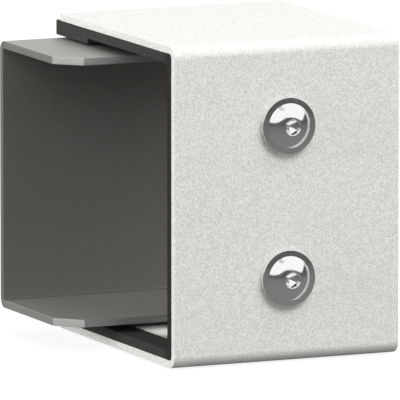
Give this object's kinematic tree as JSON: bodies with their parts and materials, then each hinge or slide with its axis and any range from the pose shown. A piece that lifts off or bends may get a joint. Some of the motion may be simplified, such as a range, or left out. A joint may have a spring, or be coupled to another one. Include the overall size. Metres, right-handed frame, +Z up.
{
  "type": "trunking length adapter",
  "caption": "Sleeve that joins two trunking ends: folded cover with a windowed liner, galvanised inner channel and flanged socket screws.",
  "frame": {"origin": "middle of the adapter's whole length and depth, on the underside of the cover", "axes": "+X along the trunking, -Y is the front with the screws, +Z up"},
  "size_m": [0.0772, 0.064, 0.0672],
  "materials": {
    "cover_coat": "fine textured white powder coat",
    "liner_plastic": "dark grey, matte",
    "galvanised_sheet": "galvanised, fine grain",
    "screw_metal": "bright zinc plate",
    "nut_metal": "zinc plate"
  },
  "bodies": {
    "root": {"outer_cover": "cover_coat", "liner": "liner_plastic", "inner_channel": "galvanised_sheet", "screw_upper": "screw_metal", "screw_lower": "screw_metal", "nut_upper": "nut_metal", "nut_lower": "nut_metal"}
  },
  "joints": []
}
